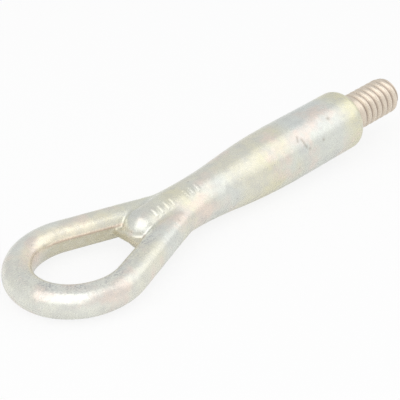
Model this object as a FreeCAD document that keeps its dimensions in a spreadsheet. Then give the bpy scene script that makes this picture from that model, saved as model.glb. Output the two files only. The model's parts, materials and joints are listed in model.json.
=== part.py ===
"""Screw-in vehicle towing eye: one steel drop forging, modelled in millimetres.

The shank's axis is +X, the loop lies in the XY plane and +Z is up.
The origin is the centre of the stub where it leaves the shank's shoulder.
"""

import FreeCAD
import Part
import Sketcher

import math
import os

# Driving dimensions.
SIZES = {
    # Stub: plain collar against the shoulder, then the thread
    "collar_diameter": 16.0,
    "collar_length": 2.0,
    "thread_diameter": 15.6,
    "thread_length": 27.5,
    "thread_pitch": 3.4,
    "thread_depth": 1.4,
    "thread_mouth": 2.6,
    "thread_root": 0.7,
    "tip_chamfer": 2.0,
    # Shank, in order from the shoulder to the nose that stands in the loop's crotch
    "shank_diameter": 25.0,
    "shank_length": 40.0,
    "rim_radius": 3.0,
    "taper_length": 56.0,
    "neck_diameter": 18.5,
    "ridge_length": 14.5,
    "nose_diameter": 16.0,
    # Loop of round bar, with the eye measured inside it from the nose to the far end
    "bar_diameter": 12.0,
    "eye_length": 38.0,
    "loop_radius": 20.8,
    # Arms, rooted in the taper on the shank's side of the neck
    "arm_root": 11.0,
    "arm_offset": 3.6,
    "arm_bend_radius": 45.0,
    "arm_run_in": 6.0,
    # Wall sheared flat inside the loop, from above the parting plane to below it
    "shear_top": 1.8,
    "shear_foot": 3.4,
    # Web of flash left in the loop's crotch
    "web_thickness": 2.4,
    "web_lip": 1.0,
}

# Places along the part from the shoulder, as the sketches' formulas give them.
STUB_TIP = "Sizes.collar_length + Sizes.thread_length"
NECK_PLACE = "Sizes.shank_length + Sizes.taper_length"
NOSE_PLACE = f"{NECK_PLACE} + Sizes.ridge_length"
NOSE_TIP = f"{NOSE_PLACE} + Sizes.nose_diameter / 2"
LOOP_CENTRE = f"{NOSE_TIP} + Sizes.eye_length - Sizes.loop_radius + Sizes.bar_diameter / 2"
BEND_END = f"{NECK_PLACE} - Sizes.arm_root"

NODE = "tow_eye"

# The Sketcher's own numbers for a sketch's axes and for the points of an element.
X_AXIS = -1
ORIGIN = (-1, 1)
START = 1
END = 2
CENTRE = 3


def make_sheet(doc):
    """The spreadsheet that holds every driving dimension under its own alias."""
    sheet = doc.addObject("Spreadsheet::Sheet", "Sizes")
    for row, (name, value) in enumerate(SIZES.items(), start=1):
        sheet.set(f"A{row}", name)
        sheet.set(f"B{row}", str(value))
        sheet.setAlias(f"B{row}", name)
    doc.recompute()
    return sheet


def origin_feature(body, role):
    """One of the body's own origin planes or axes."""
    return next(feature for feature in body.Origin.OriginFeatures if feature.Role == role)


def new_sketch(body, name, role):
    sketch = body.newObject("Sketcher::SketchObject", name)
    sketch.AttachmentSupport = [(origin_feature(body, role), "")]
    sketch.MapMode = "FlatFace"
    return sketch


def vector(point):
    return FreeCAD.Vector(point[0], point[1], 0)


def add_line(sketch, start, end):
    return sketch.addGeometry(Part.LineSegment(vector(start), vector(end)))


def add_arc(sketch, centre, radius, first, last):
    """A counter-clockwise arc between two angles in radians."""
    circle = Part.Circle(vector(centre), FreeCAD.Vector(0, 0, 1), radius)
    return sketch.addGeometry(Part.ArcOfCircle(circle, first, last))


def tie(sketch, kind, *where):
    sketch.addConstraint(Sketcher.Constraint(kind, *where))


def drive(sketch, name, formula, kind, *where):
    """Adds a dimension at its drawn size, names it and binds it to the sheet."""
    index = sketch.addConstraint(Sketcher.Constraint(kind, *where))
    sketch.renameConstraint(index, name)
    sketch.setExpression(f"Constraints.{name}", formula)


def drive_point(sketch, name, along, across, element, point, drawn):
    """Places one point of a sketch by its distances from the origin."""
    drive(sketch, f"{name}_along", along, "DistanceX", *ORIGIN, element, point, drawn[0])
    drive(sketch, f"{name}_across", across, "DistanceY", *ORIGIN, element, point, drawn[1])


def add_polygon(sketch, corners):
    """A closed outline of straight lines. Each corner is (name, along, across, drawn point)."""
    count = len(corners)
    for index, corner in enumerate(corners):
        add_line(sketch, corner[-1], corners[(index + 1) % count][-1])
    for index in range(count):
        tie(sketch, "Coincident", index, END, (index + 1) % count, START)
    for index, (name, along, across, drawn) in enumerate(corners):
        drive_point(sketch, name, along, across, index, START, drawn)


def make_spindle(body, sheet):
    """Stub, shank, taper, ridge and nose, turned about the shank's axis."""
    collar_radius = sheet.collar_diameter / 2
    thread_radius = sheet.thread_diameter / 2
    shank_radius = sheet.shank_diameter / 2
    neck_radius = sheet.neck_diameter / 2
    nose_radius = sheet.nose_diameter / 2
    rim = sheet.rim_radius
    tip_at = sheet.collar_length + sheet.thread_length
    neck_at = -sheet.shank_length - sheet.taper_length
    nose_at = neck_at - sheet.ridge_length

    # The taper is two equal arcs, each level where it meets the shank or the neck.
    drop = shank_radius - neck_radius
    taper_radius = (sheet.taper_length**2 + drop**2) / (4 * drop)
    taper_turn = math.asin(sheet.taper_length / 2 / taper_radius)
    quarter = math.pi / 2

    sketch = new_sketch(body, "SpindleProfile", "XZ_Plane")
    tip_top = (tip_at, thread_radius - sheet.tip_chamfer)
    chamfer_top = (tip_at - sheet.tip_chamfer, thread_radius)
    collar_end = (sheet.collar_length, collar_radius)
    axis = add_line(sketch, (nose_at - nose_radius, 0), (tip_at, 0))
    tip = add_line(sketch, (tip_at, 0), tip_top)
    chamfer = add_line(sketch, tip_top, chamfer_top)
    thread = add_line(sketch, chamfer_top, (sheet.collar_length, thread_radius))
    step = add_line(sketch, (sheet.collar_length, thread_radius), collar_end)
    collar = add_line(sketch, collar_end, (0, collar_radius))
    shoulder = add_line(sketch, (0, collar_radius), (0, shank_radius - rim))
    rim_arc = add_arc(sketch, (-rim, shank_radius - rim), rim, 0, quarter)
    shank = add_line(sketch, (-rim, shank_radius), (-sheet.shank_length, shank_radius))
    swell = add_arc(
        sketch,
        (-sheet.shank_length, shank_radius - taper_radius),
        taper_radius,
        quarter,
        quarter + taper_turn,
    )
    hollow = add_arc(
        sketch,
        (neck_at, neck_radius + taper_radius),
        taper_radius,
        3 * quarter,
        3 * quarter + taper_turn,
    )
    ridge = add_line(sketch, (neck_at, neck_radius), (nose_at, nose_radius))
    nose = add_arc(sketch, (nose_at, 0), nose_radius, quarter, math.pi)

    joints = [
        (axis, END, tip, START),
        (tip, END, chamfer, START),
        (chamfer, END, thread, START),
        (thread, END, step, START),
        (step, END, collar, START),
        (collar, END, shoulder, START),
        (shoulder, END, rim_arc, START),
        (hollow, START, ridge, START),
        (ridge, END, nose, START),
        (nose, END, axis, START),
    ]
    for joint in joints:
        tie(sketch, "Coincident", *joint)
    tie(sketch, "Tangent", rim_arc, END, shank, START)
    tie(sketch, "Tangent", shank, END, swell, START)
    tie(sketch, "Tangent", swell, END, hollow, END)
    tie(sketch, "Equal", swell, hollow)
    tie(sketch, "Horizontal", axis)
    tie(sketch, "Vertical", tip)
    tie(sketch, "Horizontal", thread)
    tie(sketch, "Vertical", step)
    tie(sketch, "Horizontal", collar)
    tie(sketch, "Vertical", shoulder)
    tie(sketch, "Horizontal", shank)
    tie(sketch, "Vertical", hollow, START, hollow, CENTRE)
    tie(sketch, "PointOnObject", axis, END, X_AXIS)
    tie(sketch, "PointOnObject", nose, CENTRE, X_AXIS)
    tie(sketch, "Vertical", nose, START, nose, CENTRE)
    tie(sketch, "Horizontal", rim_arc, START, rim_arc, CENTRE)

    drive(sketch, "tip_at", STUB_TIP, "DistanceX", *ORIGIN, tip, START, tip_at)
    along = (chamfer, END, chamfer, START, sheet.tip_chamfer)
    drive(sketch, "chamfer_along", "Sizes.tip_chamfer", "DistanceX", *along)
    across = (chamfer, START, chamfer, END, sheet.tip_chamfer)
    drive(sketch, "chamfer_across", "Sizes.tip_chamfer", "DistanceY", *across)
    thread_top = (*ORIGIN, thread, START, thread_radius)
    drive(sketch, "thread_radius", "Sizes.thread_diameter / 2", "DistanceY", *thread_top)
    collar_at = ("Sizes.collar_length", "Sizes.collar_diameter / 2")
    drive_point(sketch, "collar", *collar_at, collar, START, collar_end)
    tie(sketch, "DistanceX", *ORIGIN, collar, END, 0)
    drive(sketch, "rim_radius", "Sizes.rim_radius", "Radius", rim_arc, rim)
    shank_end = (-sheet.shank_length, shank_radius)
    drive_point(sketch, "shank", "-Sizes.shank_length", "Sizes.shank_diameter / 2", shank, END, shank_end)
    neck = (neck_at, neck_radius)
    drive_point(sketch, "neck", f"-({NECK_PLACE})", "Sizes.neck_diameter / 2", ridge, START, neck)
    nose_top = (nose_at, nose_radius)
    drive_point(sketch, "nose", f"-({NOSE_PLACE})", "Sizes.nose_diameter / 2", nose, START, nose_top)

    spindle = body.newObject("PartDesign::Revolution", "Spindle")
    spindle.Profile = sketch
    spindle.ReferenceAxis = (origin_feature(body, "X_Axis"), [""])
    spindle.Angle = 360
    return spindle


def make_loop(body, sheet):
    """Round bar with a sheared inner wall, swept from the far end into the neck and mirrored."""
    bar_radius = sheet.bar_diameter / 2
    end_radius = sheet.loop_radius
    bend_radius = sheet.arm_bend_radius
    neck_at = -sheet.shank_length - sheet.taper_length
    nose_tip = neck_at - sheet.ridge_length - sheet.nose_diameter / 2
    loop_at = nose_tip - sheet.eye_length + end_radius - bar_radius
    bend_end = (neck_at + sheet.arm_root, sheet.arm_offset)

    # The straight arm is the inner common tangent of the end's arc and the bend's arc.
    rise = sheet.arm_offset + bend_radius
    span = bend_end[0] - loop_at
    spread = math.asin((end_radius + bend_radius) / math.hypot(span, rise))
    arm_angle = spread - math.atan2(rise, span)
    lean = FreeCAD.Vector(math.sin(arm_angle), math.cos(arm_angle), 0)
    arm_start = FreeCAD.Vector(loop_at, 0, 0) + lean * end_radius
    arm_end = FreeCAD.Vector(bend_end[0], rise, 0) - lean * bend_radius
    quarter = math.pi / 2

    route = new_sketch(body, "LoopRoute", "XY_Plane")
    far_end = add_arc(route, (loop_at, 0), end_radius, quarter - arm_angle, math.pi)
    arm = add_line(route, arm_start, arm_end)
    bend_centre = (bend_end[0], rise)
    bend = add_arc(route, bend_centre, bend_radius, 3 * quarter - arm_angle, 3 * quarter)
    run_in = add_line(route, bend_end, (bend_end[0] + sheet.arm_run_in, bend_end[1]))
    tie(route, "Tangent", far_end, START, arm, START)
    tie(route, "Tangent", arm, END, bend, START)
    tie(route, "Tangent", bend, END, run_in, START)
    tie(route, "Horizontal", run_in)
    tie(route, "PointOnObject", far_end, CENTRE, X_AXIS)
    tie(route, "PointOnObject", far_end, END, X_AXIS)
    loop_place = f"-({LOOP_CENTRE})"
    drive(route, "loop_centre", loop_place, "DistanceX", *ORIGIN, far_end, CENTRE, loop_at)
    drive(route, "loop_radius", "Sizes.loop_radius", "Radius", far_end, end_radius)
    drive(route, "bend_radius", "Sizes.arm_bend_radius", "Radius", bend, bend_radius)
    drive_point(route, "bend_end", f"-({BEND_END})", "Sizes.arm_offset", bend, END, bend_end)
    run_in_ends = (run_in, START, run_in, END)
    drive(route, "run_in", "Sizes.arm_run_in", "DistanceX", *run_in_ends, sheet.arm_run_in)

    section = new_sketch(body, "BarSection", "XZ_Plane")
    bar_at = loop_at - end_radius
    top_angle = math.asin(sheet.shear_top / bar_radius)
    foot_angle = math.asin(sheet.shear_foot / bar_radius)
    shear_top = (bar_at + bar_radius * math.cos(top_angle), sheet.shear_top)
    shear_foot = (bar_at + bar_radius * math.cos(foot_angle), -sheet.shear_foot)
    bar = add_arc(section, (bar_at, 0), bar_radius, top_angle, 2 * math.pi - foot_angle)
    wall = add_line(section, shear_foot, shear_top)
    tie(section, "Coincident", bar, END, wall, START)
    tie(section, "Coincident", wall, END, bar, START)
    tie(section, "PointOnObject", bar, CENTRE, X_AXIS)
    bar_place = f"-({LOOP_CENTRE} + Sizes.loop_radius)"
    drive(section, "bar_place", bar_place, "DistanceX", *ORIGIN, bar, CENTRE, bar_at)
    drive(section, "bar_radius", "Sizes.bar_diameter / 2", "Radius", bar, bar_radius)
    top_ends = (bar, CENTRE, wall, END)
    drive(section, "shear_top", "Sizes.shear_top", "DistanceY", *top_ends, sheet.shear_top)
    foot_ends = (wall, START, bar, CENTRE)
    drive(section, "shear_foot", "Sizes.shear_foot", "DistanceY", *foot_ends, sheet.shear_foot)

    half = body.newObject("PartDesign::AdditivePipe", "LoopHalf")
    half.Profile = section
    half.Spine = route
    body.Document.recompute()
    loop = body.newObject("PartDesign::Mirrored", "Loop")
    loop.Originals = [half]
    loop.MirrorPlane = (origin_feature(body, "XZ_Plane"), [""])
    body.Tip = loop
    return loop


def make_web(body, sheet):
    """The web that closes the crotch between the arms, trimmed straight across before the nose."""
    neck_at = -sheet.shank_length - sheet.taper_length
    half = sheet.nose_diameter / 2
    lip_at = neck_at - sheet.ridge_length - half - sheet.web_lip
    back = f"-({NECK_PLACE})"
    front = f"-({NOSE_TIP} + Sizes.web_lip)"
    side = "Sizes.nose_diameter / 2"
    sketch = new_sketch(body, "WebOutline", "XY_Plane")
    add_polygon(
        sketch,
        [
            ("back_left", back, side, (neck_at, half)),
            ("front_left", front, side, (lip_at, half)),
            ("front_right", front, f"-{side}", (lip_at, -half)),
            ("back_right", back, f"-{side}", (neck_at, -half)),
        ],
    )
    web = body.newObject("PartDesign::Pad", "Web")
    web.Profile = sketch
    web.Midplane = True
    web.setExpression("Length", "Sizes.web_thickness")
    return web


def make_thread(body, sheet):
    """Right-hand thread cut into the stub, from clear of the collar to beyond its tip."""
    radius = sheet.thread_diameter / 2
    root = sheet.thread_root / 2
    # The cutter stands proud of the stub by the thread's depth, on the same flanks.
    proud = sheet.thread_mouth - root
    outer = radius + sheet.thread_depth
    inner = radius - sheet.thread_depth
    start = sheet.collar_length + proud
    wide = "(Sizes.thread_mouth - Sizes.thread_root / 2)"
    middle = f"Sizes.collar_length + {wide}"
    narrow = "Sizes.thread_root / 2"
    top = "Sizes.thread_diameter / 2 + Sizes.thread_depth"
    bottom = "Sizes.thread_diameter / 2 - Sizes.thread_depth"
    sketch = new_sketch(body, "ThreadGroove", "XZ_Plane")
    add_polygon(
        sketch,
        [
            ("outer_back", f"{middle} - {wide}", top, (start - proud, outer)),
            ("inner_back", f"{middle} - {narrow}", bottom, (start - root, inner)),
            ("inner_front", f"{middle} + {narrow}", bottom, (start + root, inner)),
            ("outer_front", f"{middle} + {wide}", top, (start + proud, outer)),
        ],
    )
    body.Document.recompute()
    thread = body.newObject("PartDesign::SubtractiveHelix", "Thread")
    thread.Profile = sketch
    thread.ReferenceAxis = (origin_feature(body, "X_Axis"), [""])
    thread.Mode = 0
    thread.setExpression("Pitch", "Sizes.thread_pitch")
    thread.setExpression("Height", "Sizes.thread_length + Sizes.thread_pitch")
    return thread


def make_tow_eye(doc, sheet):
    body = doc.addObject("PartDesign::Body", "TowEye")
    body.Label = NODE
    for make in (make_spindle, make_loop, make_web, make_thread):
        feature = make(body, sheet)
        doc.recompute()
        print(feature.Label, f"{feature.Shape.Volume:.1f} mm3")
    return body


def check_document(doc, parts):
    """Stops before anything is written if an object failed or a part isn't a valid solid."""
    for item in doc.Objects:
        if "Invalid" in item.State or "Error" in item.State:
            raise RuntimeError(f"{item.Label} failed: {item.State}")
    for part in parts:
        if part.Shape.isNull() or not part.Shape.isValid() or len(part.Shape.Solids) != 1:
            raise RuntimeError(f"{part.Label} isn't one valid solid")


def main():
    doc = FreeCAD.newDocument("TowEye")
    sheet = make_sheet(doc)
    parts = [make_tow_eye(doc, sheet)]
    check_document(doc, parts)
    os.makedirs("parts", exist_ok=True)
    for part in parts:
        part.Shape.exportStep(f"parts/{part.Label}.step")
        box = part.Shape.BoundBox
        print(part.Label, f"{box.XLength:.2f} x {box.YLength:.2f} x {box.ZLength:.2f} mm")


main()
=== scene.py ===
"""Look of the forged towing eye: its soft forged skin, thread and zinc plating, on a pale floor.

The forging is worked out as a field of distances in millimetres, in the frame of the solid model, and its
surface is then meshed in metres.
"""

import json
import math

import bpy
import numpy as np
import openvdb
from mathutils import Matrix, Vector, noise


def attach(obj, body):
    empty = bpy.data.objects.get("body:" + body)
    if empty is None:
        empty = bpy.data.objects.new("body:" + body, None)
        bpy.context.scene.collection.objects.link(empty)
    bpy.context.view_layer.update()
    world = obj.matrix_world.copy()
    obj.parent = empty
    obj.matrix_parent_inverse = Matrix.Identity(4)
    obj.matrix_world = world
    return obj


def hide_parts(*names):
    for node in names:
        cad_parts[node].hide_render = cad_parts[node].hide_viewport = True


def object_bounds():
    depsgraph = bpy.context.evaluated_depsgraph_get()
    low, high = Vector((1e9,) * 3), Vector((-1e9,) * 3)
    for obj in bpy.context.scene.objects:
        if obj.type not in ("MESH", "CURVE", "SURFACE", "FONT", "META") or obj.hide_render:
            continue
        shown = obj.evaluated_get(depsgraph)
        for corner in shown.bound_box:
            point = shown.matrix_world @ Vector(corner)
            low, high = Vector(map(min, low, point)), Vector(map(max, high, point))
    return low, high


MM = 0.001

# Sizes of the forging in millimetres, along the shank from the shoulder.
COLLAR_LENGTH = 2.0
THREAD_RADIUS = 7.8
THREAD_LENGTH = 27.5
THREAD_PITCH = 3.4
THREAD_DEPTH = 1.2
THREAD_MOUTH = 2.5
TIP_CHAMFER = 2.0
SHANK_RADIUS = 12.5
SHANK_LENGTH = 40.0
RIM_RADIUS = 3.0
TAPER_LENGTH = 56.0
NECK_RADIUS = 9.25
RIDGE_LENGTH = 14.5
NOSE_RADIUS = 8.0
BAR_RADIUS = 6.0
EYE_LENGTH = 38.0
LOOP_RADIUS = 20.8
ARM_ROOT = 11.0
ARM_OFFSET = 3.6
ARM_BEND_RADIUS = 45.0
ARM_RUN_IN = 6.0
SHEAR_TOP = 1.8
SHEAR_FOOT = 3.4
WEB_THICKNESS = 2.4
WEB_LIP = 1.0
WEB_SLOPE = 0.5

# Thread's groove: half of its flat floor, and in turns where it starts and how long it takes to deepen.
GROOVE_FLOOR = 0.2
GROOVE_START = 0.25
GROOVE_RUN_IN = 0.5

# Widths of the soft blends that the dies leave, and of the rounded edges.
ARM_BLEND = 2.0
NOSE_BLEND = 0.9
WEB_BLEND = 1.2
STUB_BLEND = 0.5
WEB_EDGE = 0.6
COLLAR_EDGE = 0.3
TIP_EDGE = 0.6

# The nose's blend grows to the arms' from just before the nose's centre to just past the neck.
BLEND_LEAD = 2.0
BLEND_TAIL = 4.0

# Sheared wall inside the eye: its edge and the burr along its top.
SHEAR_BLEND = 0.5
BURR_RADIUS = 0.45
BURR_INSET = 0.1
BURR_BLEND = 0.4

# Towards the loop's far end the wall's edge softens, and the wall is set out to make up for that.
# The burr fades this many times as fast.
FAR_RANGE = (-4.0, 9.0)
FAR_BLEND = 2.5
FAR_SHIFT = 0.6
BURR_FADE = 2.0

# Plain raised ribs on the ridge, in two groups.
RIB_PLACES = (-108.0, -105.2, -102.4, -99.6, -93.0, -90.2, -87.4)
RIB_WIDTH = 1.1
RIB_REACH = 2.2
RIB_EDGE = 0.6
RIB_LEAN = math.radians(24)
RIB_HEIGHT = 0.32

# Pits and two short scratches on the shank's side: where each starts and ends, and its radius.
MARKS = (
    ((-18.3, -7.6, 9.9), (-18.1, -7.6, 9.9), 0.7),
    ((-25.4, -11.6, 4.7), (-25.2, -11.6, 4.7), 0.6),
    ((-33.9, -11.7, 4.3), (-33.7, -11.7, 4.3), 0.5),
    ((-36.0, -9.3, 8.4), (-35.1, -11.4, 5.2), 0.45),
    ((-37.2, -8.0, 9.6), (-38.1, -9.4, 8.3), 0.4),
)
MARK_DEPTH = 0.15

# Places that follow from the sizes.
TIP_AT = COLLAR_LENGTH + THREAD_LENGTH
NECK_AT = -SHANK_LENGTH - TAPER_LENGTH
NOSE_AT = NECK_AT - RIDGE_LENGTH
LIP_AT = NOSE_AT - NOSE_RADIUS - WEB_LIP
LOOP_AT = NOSE_AT - NOSE_RADIUS - EYE_LENGTH + LOOP_RADIUS - BAR_RADIUS
BEND_AT = NECK_AT + ARM_ROOT

# Mesh: cell of the grid, cells around the part, and the steps that move its points onto the surface.
CELL = 0.48
MARGIN = 4
NEWTON_STEPS = 2
SLOPE_STEP = 0.02
LEAST_SLOPE_SQUARED = 0.25

# Forged skin: its depth, the length behind the shoulder over which it grows, and its lumps and dents.
SKIN_DEPTH = 0.2
SKIN_START = 2.0
SKIN_MEAN = 0.5
LUMP_SIZE = 11.0
LUMP_SHARE = 0.32
DENT_SIZE = 3.2
DENT_SHARE = 0.18
DENT_SHIFT = Vector((7, 3, 1))

# The turned shank has a share of the forged skin, which grows past its end, and a faint step there.
TURNED_SKIN = 0.25
TURNED_FADE = 20.0
TURNED_STEP = 0.08
TURNED_STEP_LENGTH = 0.6

# Zones of the plating, of the painted highlight and of the painted shade: ranges from where each begins to
# where it is full, or a middle with a width or reach.
# The rim's zone fades out over RIM_RANGE, where the turned shank's zone begins.
SHOULDER_RANGE = (-0.5, 0.5)
# Painted shade in the thread's grooves begins past the collar over this range.
GROOVE_SHADE_RANGE = (1.0, 2.0)
TURNED_RANGE = (-46.0, -34.0)
RIM_RANGE = (4.0, 16.0)
LOOP_RANGE = (112.0, 140.0)
SCUFF_RANGE = (100.0, 135.0)
SCUFF_RISE = (0.0, 3.0)
SCUFF_OFFSET = 1.5
SCUFF_WIDTH = 3.5
FAR_SIDE = (4.0, 14.0)
# Painted highlight on the far arm's inner top: the offsets inwards and the heights over which it grows.
HIGHLIGHT_OFFSET = (0.0, 3.0)
HIGHLIGHT_RISE = (0.0, 2.0)
# Painted shade at the stub's foot, in the crease by the shoulder: its middle, width and reach past the
# collar.
FOOT_SHADE_AT = 0.6
FOOT_SHADE_WIDTH = 0.7
FOOT_SHADE_REACH = 1.0
BURR_SPREAD = 0.6
BURR_PAST_LIP = 4.0
SHEARED_DROP = (0.0, 0.8)
SHEARED_RANGE = (2.0, 4.0)

# Colours of the plating, its wear and the thread, and of a painted highlight and painted shade.
CREAM = (0.765, 0.742, 0.615)
STRAW = (0.760, 0.722, 0.500)
BLUE_WHITE = (0.700, 0.745, 0.740)
LOOP_WHITE = (0.790, 0.800, 0.745)
# Warm white of the painted highlight on the far arm's inner top.
PAINTED_HIGHLIGHT = (0.930, 0.850, 0.660)
PINK = (0.830, 0.700, 0.620)
SCUFF = (0.40, 0.40, 0.41)
DULL = (0.57, 0.575, 0.56)
PIT = (0.36, 0.33, 0.28)
SHEARED = (0.62, 0.58, 0.44)
BURR_TINT = (0.60, 0.45, 0.35)
CREST = (0.75, 0.66, 0.55)
# Painted shade in the thread's grooves.
GROOVE_SHADE = (0.40, 0.32, 0.26)
# Painted shade at the stub's foot.
FOOT_SHADE = (0.36, 0.31, 0.33)

# Noises of the plating: size in millimetres, detail, roughness and seed.
NOISES = {
    "clouds": (26, 3, 0.6, 0),
    "cool": (20, 3, 0.6, 3),
    "warm": (14, 3, 0.6, 7),
    "patches": (9, 3, 0.6, 5),
    "blotches": (5, 4, 0.65, 4),
    "specks": (2.0, 1, 0.5, 9),
    "mottle": (1.5, 4, 0.66, 0),
    "grain": (0.8, 3, 0.6, 2),
}

# Tints that follow a noise: its name, where the tint begins and is full, its greatest share, its colour.
CLOUD_TINTS = (
    ("clouds", 0.42, 0.68, 0.8, STRAW),
    ("cool", 0.42, 0.66, 0.6, BLUE_WHITE),
)
PATCH_TINTS = (("warm", 0.50, 0.66, 0.75, PINK),)
WEAR_TINTS = (
    ("blotches", 0.42, 0.66, 0.4, DULL),
    ("grain", 0.40, 0.72, 0.28, DULL),
)

# Tints that follow a zone: its name, the tint's share and its colour.
BODY_TINTS = (
    ("turned", 0.6, BLUE_WHITE),
    ("rim", 0.7, STRAW),
    ("loop", 0.6, LOOP_WHITE),
    # Painted highlight on the far arm's inner top.
    ("painted_highlight", 0.8, PAINTED_HIGHLIGHT),
)
EDGE_TINTS = (
    ("burr", 0.8, BURR_TINT),
    ("thread", 1.0, CREST),
)
# Painted shade at the stub's foot, in the crease by the shoulder.
FOOT_SHADE_TINTS = (("foot", 0.75, FOOT_SHADE),)

# Scuffs, pits and the sheared wall: the ranges of their noises, and their shares.
SCUFF_PATCHES = (0.40, 0.60)
SCUFF_GRAIN = (0.48, 0.58, 0.0, 0.9)
SPECKS = (0.74, 0.78, 0.0, 0.7)
PIT_SHARE = 0.7
SHEARED_MOTTLE = (0.3, 0.7, 0.45, 1.0)
# Painted shade in the thread's grooves: the share of the groove's depth at which it begins and is full.
GROOVE_SHADE_SHARE = (0.5, 1.0)

# Shine and relief of the plating.
METALLIC = 0.6
ROUGHNESS = (0.3, 0.7, 0.20, 0.38)
GRAIN_RELIEF = 0.5
BUMP_STRENGTH = 0.34
BUMP_DISTANCE = 0.25

# Floor: its size in metres, the gap under the eye in millimetres, its colours, and the share of white that
# the camera sees in it and that the eye mirrors.
FLOOR_SIZE = 6.0
FLOOR_GAP = 0.02
FLOOR_SAMPLES = 400
FLOOR_CLOUDS = 60
FLOOR_GREY = (0.80, 0.80, 0.80)
FLOOR_PALE = (0.83, 0.83, 0.83)
FLOOR_ROUGHNESS = 0.9
FLOOR_GLOW = 0.85
FLOOR_MIRRORED = 0.5

# Camera: its aim in the frame, its direction in degrees, its distance and its focal length in pixels.
IMAGE_SIZE = 400
AIM = (-83.86, -1.06, 0.0)
AZIMUTH = 42.43
ELEVATION = 31.54
ROLL = -3.74
DISTANCE = 441.0
FOCAL_PIXELS = 1181.0
SENSOR = 36.0
CLIP_START = 0.01

# Room: its strength and colours, and the direction from the object to the middle of its greyer side.
ROOM_STRENGTH = 0.86
ROOM_WHITE = (1.0, 1.0, 1.0)
ROOM_GREY = (0.78, 0.79, 0.80)
ROOM_RANGE = (0.40, 0.54)
BEHIND = (0.30, 0.80, 0.50)

# Lamps: name, place and size in metres, and power in watts.
LAMPS = (
    ("front", (-0.58, -0.17, 0.67), 1.0, 3.1),
    ("side", (0.47, -0.36, 0.58), 0.8, 1.15),
)

# Sockets of a mix node that hold colours.
MIX_FIRST = 6
MIX_SECOND = 7
MIX_RESULT = 2


def smooth_union(first, second, blend):
    """Union of two fields with a soft valley of the given width between them."""
    share = np.clip(0.5 + 0.5 * (second - first) / blend, 0, 1)
    return second * (1 - share) + first * share - blend * share * (1 - share)


def smooth_common(first, second, blend):
    """Intersection of two fields with a rounded edge."""
    return -smooth_union(-first, -second, blend)


def smooth_step(value, low, high):
    """Soft rise from 0 at low to 1 at high."""
    share = np.clip((value - low) / (high - low), 0, 1)
    return share * share * (3 - 2 * share)


def shank_radius(x):
    """Radius of the turned body: cylinder, a taper of two equal arcs, then the straight ridge."""
    drop = SHANK_RADIUS - NECK_RADIUS
    arc = (TAPER_LENGTH**2 + drop**2) / (4 * drop)
    along = np.clip(-x - SHANK_LENGTH, 0, TAPER_LENGTH)
    swell = SHANK_RADIUS - arc + np.sqrt(arc**2 - np.minimum(along, TAPER_LENGTH / 2) ** 2)
    left = np.minimum(TAPER_LENGTH - along, TAPER_LENGTH / 2)
    hollow = NECK_RADIUS + arc - np.sqrt(arc**2 - left**2)
    ridge = np.clip((NECK_AT - x) / RIDGE_LENGTH, 0, 1)
    taper = np.where(along < TAPER_LENGTH / 2, swell, hollow)
    return taper + (NOSE_RADIUS - NECK_RADIUS) * ridge


def rib_height(x, y, z):
    """Height of the raised ribs over the ridge, a little to one side of its top."""
    side = y * math.cos(RIB_LEAN) + z * math.sin(RIB_LEAN)
    top = z * math.cos(RIB_LEAN) - y * math.sin(RIB_LEAN)
    height = np.zeros_like(x)
    for place in RIB_PLACES:
        across = smooth_step(RIB_WIDTH / 2 + RIB_EDGE / 2 - np.abs(x - place), 0, RIB_EDGE)
        along = smooth_step(RIB_REACH + RIB_EDGE / 2 - np.abs(side), 0, RIB_EDGE)
        height = np.maximum(height, RIB_HEIGHT * across * along)
    return np.where(top > 0, height, 0)


def shank_field(x, y, z):
    """Shank with its rounded rim, taper, ridge, ribs and nose."""
    across = np.hypot(y, z)
    radius = shank_radius(x) + rib_height(x, y, z)
    side = across - radius + RIM_RADIUS
    end = x + RIM_RADIUS
    outside = np.hypot(np.maximum(side, 0), np.maximum(end, 0))
    body = outside + np.minimum(np.maximum(side, end), 0) - RIM_RADIUS
    nose = np.hypot(x - NOSE_AT, across) - NOSE_RADIUS
    return np.where(x < NOSE_AT, nose, body)


def thread_groove(x, y, z):
    """Share of the full depth that the right-hand helical groove has at each point."""
    turn = np.mod(np.arctan2(z, y) / (2 * math.pi) - GROOVE_START, 1)
    place = (x - COLLAR_LENGTH - THREAD_MOUTH / 2) / THREAD_PITCH - turn
    nearest = np.round(place)
    away = np.abs(place - nearest) * THREAD_PITCH
    run_in = smooth_step(nearest + turn, 0, GROOVE_RUN_IN)
    return run_in * (1 - smooth_step(away, GROOVE_FLOOR, THREAD_MOUTH / 2))


def stub_field(x, y, z, collar_radius):
    """Plain collar and threaded stub with its chamfered tip."""
    across = np.hypot(y, z)
    thread = across - THREAD_RADIUS + THREAD_DEPTH * thread_groove(x, y, z)
    collar = smooth_common(across - collar_radius, x - COLLAR_LENGTH, COLLAR_EDGE)
    chamfer = (across + x - THREAD_RADIUS - TIP_AT + TIP_CHAMFER) / math.sqrt(2)
    thread = smooth_common(smooth_common(thread, chamfer, TIP_EDGE), x - TIP_AT, TIP_EDGE)
    return np.maximum(np.minimum(thread, collar), -x - RIM_RADIUS)


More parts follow.
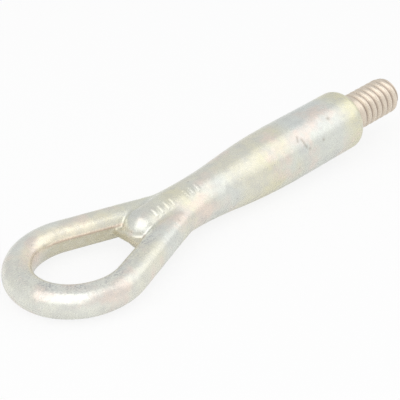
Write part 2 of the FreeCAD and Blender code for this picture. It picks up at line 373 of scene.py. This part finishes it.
def loop_offset(x, y):
    """Offset inwards from the bar's centre line: loop, straight arm, bend, then the run into the shank."""
    rise = ARM_OFFSET + ARM_BEND_RADIUS
    span = BEND_AT - LOOP_AT
    spread = math.asin((LOOP_RADIUS + ARM_BEND_RADIUS) / math.hypot(span, rise))
    lean = spread - math.atan2(rise, span)
    normal = (math.sin(lean), math.cos(lean))
    start = (LOOP_AT + normal[0] * LOOP_RADIUS, normal[1] * LOOP_RADIUS)
    end = (BEND_AT - normal[0] * ARM_BEND_RADIUS, rise - normal[1] * ARM_BEND_RADIUS)
    length = math.hypot(end[0] - start[0], end[1] - start[1])

    side = np.abs(y)
    on_arm = ((x - start[0]) * normal[1] - (side - start[1]) * normal[0]) / length
    arm = -((x - start[0]) * normal[0] + (side - start[1]) * normal[1])
    loop = LOOP_RADIUS - np.hypot(x - LOOP_AT, side)
    bend = np.hypot(x - BEND_AT, side - rise) - ARM_BEND_RADIUS
    run_in = ARM_OFFSET - side
    past_arm = np.where(x < BEND_AT, bend, run_in)
    return np.where(on_arm < 0, loop, np.where(on_arm < 1, arm, past_arm))


def shear_line():
    """The sheared wall in the bar's section: a point on it and its direction outwards."""
    top = math.sqrt(BAR_RADIUS**2 - SHEAR_TOP**2)
    foot = math.sqrt(BAR_RADIUS**2 - SHEAR_FOOT**2)
    length = math.hypot(top - foot, SHEAR_TOP + SHEAR_FOOT)
    return (top, SHEAR_TOP), ((SHEAR_TOP + SHEAR_FOOT) / length, (foot - top) / length)


def far_share(x):
    """Share of the way round from the arms to the loop's far end, where the wall's edge wears away."""
    return smooth_step(LOOP_AT - x, *FAR_RANGE)


def arm_field(x, y, z):
    """Loop and arms of round bar, with the wall sheared flat inside and the burr at its top edge."""
    offset = loop_offset(x, y)
    bar = np.hypot(offset, z) - BAR_RADIUS
    (top, height), (inwards, upwards) = shear_line()
    wall = (offset - top) * inwards + (z - height) * upwards
    far = far_share(x)
    blend = SHEAR_BLEND + (FAR_BLEND - SHEAR_BLEND) * far
    bar = smooth_common(bar, wall - FAR_SHIFT * far, blend)
    burr = np.hypot(offset - top + BURR_INSET, z - height) - BURR_RADIUS * (1 - BURR_FADE * far)
    return np.maximum(smooth_union(bar, burr, BURR_BLEND), x - BEND_AT - ARM_RUN_IN)


def web_field(x, y, z):
    """Web of flash in the crotch, trimmed on a slope."""
    thick = np.abs(z) - WEB_THICKNESS / 2
    front = LIP_AT + WEB_SLOPE * z - x
    wide = np.abs(y) - NOSE_RADIUS
    return np.maximum(smooth_common(thick, front, WEB_EDGE), np.maximum(wide, x - NECK_AT))


def forging_field(x, y, z, collar_radius):
    """Distance from the forging's surface, negative inside."""
    grown = smooth_step(x, NOSE_AT - BLEND_LEAD, NECK_AT + BLEND_TAIL)
    blend = NOSE_BLEND + (ARM_BLEND - NOSE_BLEND) * grown
    body = smooth_union(shank_field(x, y, z), arm_field(x, y, z), blend)
    body = smooth_union(body, web_field(x, y, z), WEB_BLEND)
    return smooth_union(body, stub_field(x, y, z, collar_radius), STUB_BLEND)


def surface_points(points, collar_radius):
    """Points moved onto the field's zero by Newton steps, with the field's directions there."""
    for _ in range(NEWTON_STEPS):
        value = forging_field(*points.T, collar_radius)
        slope = np.stack(
            [
                forging_field(*(points + SLOPE_STEP * axis).T, collar_radius) - value
                for axis in np.eye(3)
            ],
            axis=1,
        )
        slope /= SLOPE_STEP
        size = np.maximum((slope**2).sum(axis=1), LEAST_SLOPE_SQUARED)
        points = points - slope * (value / size)[:, None]
    return points, slope / np.linalg.norm(slope, axis=1)[:, None]


def mark_share(points):
    """How much of a pit or scratch is at each point."""
    share = np.zeros(len(points))
    for start, end, radius in MARKS:
        stroke = np.subtract(end, start)
        along = np.clip((points - start) @ stroke / (stroke @ stroke), 0, 1)
        away = np.linalg.norm(points - start - along[:, None] * stroke, axis=1)
        share = np.maximum(share, np.exp(-((away / radius) ** 2)))
    return share


def skin_depth(points):
    """How far the forged skin dips under the true form: soft lumps and dents, none on the thread."""
    depth = np.empty(len(points))
    for index, point in enumerate(points):
        place = Vector(point)
        lumps = noise.noise(place / LUMP_SIZE)
        dents = noise.noise(place / DENT_SIZE + DENT_SHIFT)
        depth[index] = SKIN_MEAN + LUMP_SHARE * lumps + DENT_SHARE * dents
    along = -points[:, 0]
    past_turned = smooth_step(along, SHANK_LENGTH, SHANK_LENGTH + TURNED_FADE)
    forged = TURNED_SKIN + (1 - TURNED_SKIN) * past_turned
    skin = SKIN_DEPTH * np.clip(depth, 0, 1) * forged * smooth_step(along, 0, SKIN_START)
    step = TURNED_STEP * smooth_step(along, SHANK_LENGTH, SHANK_LENGTH + TURNED_STEP_LENGTH)
    return skin + step + MARK_DEPTH * mark_share(points)


def forging_surface(low, high, collar_radius):
    """Points in millimetres and faces of the forging's skin."""
    border = MARGIN * CELL
    axes = [np.arange(low[i] / MM - border, high[i] / MM + border, CELL) for i in range(3)]
    x, y, z = np.meshgrid(*[axis.astype(np.float32) for axis in axes], indexing="ij")
    grid = openvdb.FloatGrid(border)
    grid.copyFromArray(np.ascontiguousarray(forging_field(x, y, z, collar_radius), dtype=np.float32))
    points, quads = grid.convertToQuads(0.0)
    points = points.astype(np.float64) * CELL + np.array([axis[0] for axis in axes])
    points, outwards = surface_points(points, collar_radius)
    points -= outwards * skin_depth(points)[:, None]
    return points, quads[:, ::-1]


def plating_zones(points, collar_radius):
    """Zones that the plating colours, a painted highlight and painted shade among them, each as a share from
    0 to 1 at every point.
    """
    x, y, z = points.T
    offset = loop_offset(x, y)
    (top, height), _ = shear_line()
    edge = (x < LIP_AT + BURR_PAST_LIP) * (1 - far_share(x))
    from_burr = np.hypot(offset - top, z - height) / BURR_SPREAD
    inner_top = np.exp(-(((offset - SCUFF_OFFSET) / SCUFF_WIDTH) ** 2)) * smooth_step(z, *SCUFF_RISE)
    under_burr = smooth_step(height - z, *SHEARED_DROP) * smooth_step(offset, *SHEARED_RANGE)
    behind_rim = smooth_step(-x, *RIM_RANGE)
    far_side = smooth_step(y, *FAR_SIDE)
    round_eye = smooth_step(-x, *SCUFF_RANGE)
    # Painted highlight: a warm white band on the upper inner side of the far arm.
    highlight_side = smooth_step(offset, *HIGHLIGHT_OFFSET) * smooth_step(z, *HIGHLIGHT_RISE)
    across = np.hypot(y, z)
    on_stub = across < collar_radius + FOOT_SHADE_REACH
    on_flank = smooth_step(across, THREAD_RADIUS - TIP_CHAMFER, THREAD_RADIUS - THREAD_DEPTH)
    return {
        "thread": smooth_step(x, *SHOULDER_RANGE),
        # Painted shade in the thread's grooves.
        "groove": thread_groove(x, y, z) * smooth_step(x, *GROOVE_SHADE_RANGE) * on_flank,
        # Painted shade at the stub's foot, in the crease by the shoulder.
        "foot": np.exp(-(((x - FOOT_SHADE_AT) / FOOT_SHADE_WIDTH) ** 2)) * on_stub,
        "burr": np.exp(-(from_burr**2)) * edge,
        "sheared": under_burr * edge,
        "scuffed": round_eye * inner_top * (1 - far_side),
        "painted_highlight": round_eye * highlight_side * far_side,
        "turned": smooth_step(x, *TURNED_RANGE) * behind_rim,
        "rim": 1 - behind_rim,
        "loop": smooth_step(-x, *LOOP_RANGE),
        "marks": mark_share(points),
    }


def make_forging(low, high, collar_radius):
    """The meshed forging, with the zones that its plating uses."""
    points, faces = forging_surface(low, high, collar_radius)
    mesh = bpy.data.meshes.new("forging")
    mesh.from_pydata((points * MM).tolist(), [], faces.tolist())
    mesh.validate()
    mesh.shade_smooth()
    for name, shares in plating_zones(points, collar_radius).items():
        attribute = mesh.attributes.new(name, "FLOAT", "POINT")
        attribute.data.foreach_set("value", np.ascontiguousarray(shares, dtype=np.float32))
    forging = bpy.data.objects.new("forging", mesh)
    bpy.context.scene.collection.objects.link(forging)
    return forging


class Nodes:
    """Short calls for building one node tree."""

    def __init__(self, tree):
        self.tree = tree
        tree.nodes.clear()

    def add(self, kind, inputs=(), **settings):
        """A node with its settings, and its inputs set to values or linked to sockets."""
        node = self.tree.nodes.new(kind)
        for name, value in settings.items():
            setattr(node, name, value)
        for socket, value in dict(inputs).items():
            if isinstance(value, bpy.types.NodeSocket):
                self.tree.links.new(value, node.inputs[socket])
            else:
                node.inputs[socket].default_value = value
        return node

    def attribute(self, name):
        """A zone of the mesh, by its name."""
        return self.add("ShaderNodeAttribute", attribute_name=name).outputs["Fac"]

    def noise(self, place, size, detail=3.0, rough=0.55, seed=0.0):
        """A noise whose features are about the given size in millimetres."""
        sockets = {"Vector": place, "W": seed, "Scale": 1 / (size * MM), "Detail": detail, "Roughness": rough}
        return self.add("ShaderNodeTexNoise", sockets, noise_dimensions="4D").outputs["Fac"]

    def ramp(self, value, low, high, to_low=0.0, to_high=1.0):
        """A soft rise from one value to another as the input goes from low to high."""
        sockets = {"Value": value, "From Min": low, "From Max": high, "To Min": to_low, "To Max": to_high}
        node = self.add("ShaderNodeMapRange", sockets, interpolation_type="SMOOTHSTEP")
        return node.outputs["Result"]

    def maths(self, operation, first, second):
        """A sum, product or other operation on two values."""
        node = self.add("ShaderNodeMath", {0: first, 1: second}, operation=operation)
        return node.outputs["Value"]

    def mix(self, share, first, second):
        """The first colour with a share of the second."""
        node = self.add("ShaderNodeMix", {"Factor": share}, data_type="RGBA")
        for socket, value in ((node.inputs[MIX_FIRST], first), (node.inputs[MIX_SECOND], second)):
            if isinstance(value, bpy.types.NodeSocket):
                self.tree.links.new(value, socket)
            else:
                socket.default_value = (*value, 1)
        return node.outputs[MIX_RESULT]

    def noise_tints(self, colour, noises, tints):
        """The colour with each tint over it where the tint's noise is high."""
        for name, low, high, share, tint in tints:
            colour = self.mix(self.ramp(noises[name], low, high, 0, share), colour, tint)
        return colour

    def zone_tints(self, colour, tints):
        """The colour with each tint over it in the tint's zone."""
        for name, share, tint in tints:
            colour = self.mix(self.maths("MULTIPLY", self.attribute(name), share), colour, tint)
        return colour


def plating_colour(nodes, noises, specks):
    """Colour of the plating: faint interference tints, a painted highlight on the far arm, wear, then the
    sheared wall, burr and thread, with painted shade in the thread's grooves and at the stub's foot.
    """
    # Straw and bluish clouds on cream, paler on the shank and loop, straw at the rim, a painted warm
    # highlight on the far arm's upper inner side, then pink patches.
    colour = nodes.noise_tints(CREAM, noises, CLOUD_TINTS)
    colour = nodes.zone_tints(colour, BODY_TINTS)
    colour = nodes.noise_tints(colour, noises, PATCH_TINTS)

    # Dull blotches and grain all over, a grey speckle on the loop's inner top, and few pits.
    colour = nodes.noise_tints(colour, noises, WEAR_TINTS)
    scuffed = nodes.ramp(noises["patches"], *SCUFF_PATCHES)
    scuffed = nodes.maths("MULTIPLY", nodes.attribute("scuffed"), scuffed)
    scuffs = nodes.maths("MULTIPLY", scuffed, nodes.ramp(noises["grain"], *SCUFF_GRAIN))
    colour = nodes.mix(scuffs, colour, SCUFF)
    pits = nodes.maths("MAXIMUM", specks, nodes.attribute("marks"))
    colour = nodes.mix(nodes.maths("MULTIPLY", pits, PIT_SHARE), colour, PIT)

    sheared = nodes.ramp(noises["mottle"], *SHEARED_MOTTLE)
    sheared = nodes.maths("MULTIPLY", nodes.attribute("sheared"), sheared)
    colour = nodes.mix(sheared, colour, SHEARED)
    colour = nodes.zone_tints(colour, EDGE_TINTS)
    # Painted shade: the thread's grooves are painted dark brown.
    colour = nodes.mix(nodes.ramp(nodes.attribute("groove"), *GROOVE_SHADE_SHARE), colour, GROOVE_SHADE)
    # Painted shade: a dark ring at the stub's foot, in the crease by the shoulder.
    return nodes.zone_tints(colour, FOOT_SHADE_TINTS)


def zinc_plating():
    """Pale satin zinc with faint interference tints, scuffs and pits, a painted highlight and painted shade.
    """
    material = bpy.data.materials.new("zinc_plating")
    material.use_nodes = True
    nodes = Nodes(material.node_tree)
    place = nodes.add("ShaderNodeTexCoord").outputs["Object"]
    noises = {name: nodes.noise(place, *numbers) for name, numbers in NOISES.items()}
    specks = nodes.ramp(noises["specks"], *SPECKS)

    relief = nodes.maths("ADD", nodes.maths("MULTIPLY", noises["grain"], GRAIN_RELIEF), noises["mottle"])
    relief = nodes.maths("SUBTRACT", relief, specks)
    bump = nodes.add(
        "ShaderNodeBump",
        {"Height": relief, "Strength": BUMP_STRENGTH, "Distance": BUMP_DISTANCE * MM},
    )
    shader = nodes.add(
        "ShaderNodeBsdfPrincipled",
        {
            "Base Color": plating_colour(nodes, noises, specks),
            "Metallic": METALLIC,
            "Roughness": nodes.ramp(noises["mottle"], *ROUGHNESS),
            "Normal": bump.outputs["Normal"],
        },
    )
    nodes.add("ShaderNodeOutputMaterial", {"Surface": shader.outputs["BSDF"]})
    return material


def floor_material():
    """Pale matt floor that is near white to the camera, less so in reflections, and keeps a soft shadow."""
    material = bpy.data.materials.new("pale_floor")
    material.use_nodes = True
    nodes = Nodes(material.node_tree)
    place = nodes.add("ShaderNodeTexCoord").outputs["Object"]
    colour = nodes.mix(nodes.noise(place, FLOOR_CLOUDS), FLOOR_GREY, FLOOR_PALE)
    shader = nodes.add("ShaderNodeBsdfPrincipled", {"Base Color": colour, "Roughness": FLOOR_ROUGHNESS})
    white = nodes.add("ShaderNodeEmission", {"Color": (1, 1, 1, 1), "Strength": 1})
    path = nodes.add("ShaderNodeLightPath").outputs
    mirrored = nodes.maths("MAXIMUM", path["Is Glossy Ray"], path["Is Transmission Ray"])
    mirrored = nodes.maths("MULTIPLY", mirrored, FLOOR_MIRRORED)
    seen = nodes.maths("MULTIPLY", path["Is Camera Ray"], FLOOR_GLOW)
    share = nodes.maths("MAXIMUM", seen, mirrored)
    both = nodes.add("ShaderNodeMixShader", {0: share, 1: shader.outputs["BSDF"], 2: white.outputs[0]})
    nodes.add("ShaderNodeOutputMaterial", {"Surface": both.outputs["Shader"]})
    return material


def make_floor():
    """Floor that the eye rests on, under its taper and under the loop's far end."""
    far_end = LOOP_AT - LOOP_RADIUS
    along = np.linspace(NECK_AT, -RIM_RADIUS, FLOOR_SAMPLES)
    tilt = np.arctan2(shank_radius(along) - BAR_RADIUS, along - far_end).max()
    level = -BAR_RADIUS - FLOOR_GAP
    bpy.ops.mesh.primitive_plane_add(size=FLOOR_SIZE, location=(far_end * MM, 0, level * MM))
    floor = bpy.context.object
    floor.name = "floor"
    floor.rotation_euler = (0, tilt, 0)
    floor.data.materials.append(floor_material())


def make_camera():
    """Camera at the photograph's place, with its roll."""
    turn, height, roll = (math.radians(angle) for angle in (AZIMUTH, ELEVATION, ROLL))
    right = Vector((math.cos(turn), -math.sin(turn), 0))
    level = Vector((math.sin(turn), math.cos(turn), 0))
    ahead = level * math.cos(height) - Vector((0, 0, math.sin(height)))
    up = level * math.sin(height) + Vector((0, 0, math.cos(height)))
    rolled_right = right * math.cos(roll) + up * math.sin(roll)
    rolled_up = up * math.cos(roll) - right * math.sin(roll)
    data = bpy.data.cameras.new("camera")
    data.sensor_width = SENSOR
    data.lens = SENSOR * FOCAL_PIXELS / IMAGE_SIZE
    data.clip_start = CLIP_START
    camera = bpy.data.objects.new("camera", data)
    bpy.context.scene.collection.objects.link(camera)
    place = Matrix.Translation((Vector(AIM) - ahead * DISTANCE) * MM)
    camera.matrix_world = place @ Matrix((rolled_right, rolled_up, -ahead)).transposed().to_4x4()
    bpy.context.scene.camera = camera


def add_lamp(name, place, size, power):
    """Square area lamp that faces the camera's aim."""
    data = bpy.data.lights.new(name, "AREA")
    data.size = size
    data.energy = power
    lamp = bpy.data.objects.new(name, data)
    bpy.context.scene.collection.objects.link(lamp)
    lamp.location = place
    aim = Vector(AIM) * MM - Vector(place)
    lamp.rotation_euler = aim.to_track_quat("-Z", "Y").to_euler()


def make_light():
    """Soft studio light: a pale room, greyer behind, and large lamps by the loop and by the thread."""
    world = bpy.data.worlds.new("room")
    bpy.context.scene.world = world
    world.use_nodes = True
    nodes = Nodes(world.node_tree)
    direction = nodes.add("ShaderNodeTexCoord").outputs["Generated"]
    sockets = {0: direction, 1: BEHIND}
    behind = nodes.add("ShaderNodeVectorMath", sockets, operation="DOT_PRODUCT").outputs["Value"]
    room = nodes.mix(nodes.ramp(behind, *ROOM_RANGE), ROOM_WHITE, ROOM_GREY)
    light = nodes.add("ShaderNodeBackground", {"Color": room, "Strength": ROOM_STRENGTH})
    nodes.add("ShaderNodeOutputWorld", {"Surface": light.outputs[0]})
    for lamp in LAMPS:
        add_lamp(*lamp)


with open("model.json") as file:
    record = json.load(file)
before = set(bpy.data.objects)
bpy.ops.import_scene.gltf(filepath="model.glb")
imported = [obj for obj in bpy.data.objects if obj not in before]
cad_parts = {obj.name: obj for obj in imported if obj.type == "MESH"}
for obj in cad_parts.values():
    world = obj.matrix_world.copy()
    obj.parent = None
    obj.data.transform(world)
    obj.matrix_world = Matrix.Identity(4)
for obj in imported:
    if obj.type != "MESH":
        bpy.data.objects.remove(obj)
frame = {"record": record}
cad_low, cad_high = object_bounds()
bpy.context.scene.view_settings.view_transform = "Standard"
mounts = {mount["name"]: mount for mount in frame["record"]["mounts"]}
forging = make_forging(cad_low, cad_high, mounts["collar"]["dims"]["r_mm"])
forging.data.materials.append(zinc_plating())
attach(forging, "root")
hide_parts("tow_eye")
make_floor()
make_camera()
make_light()
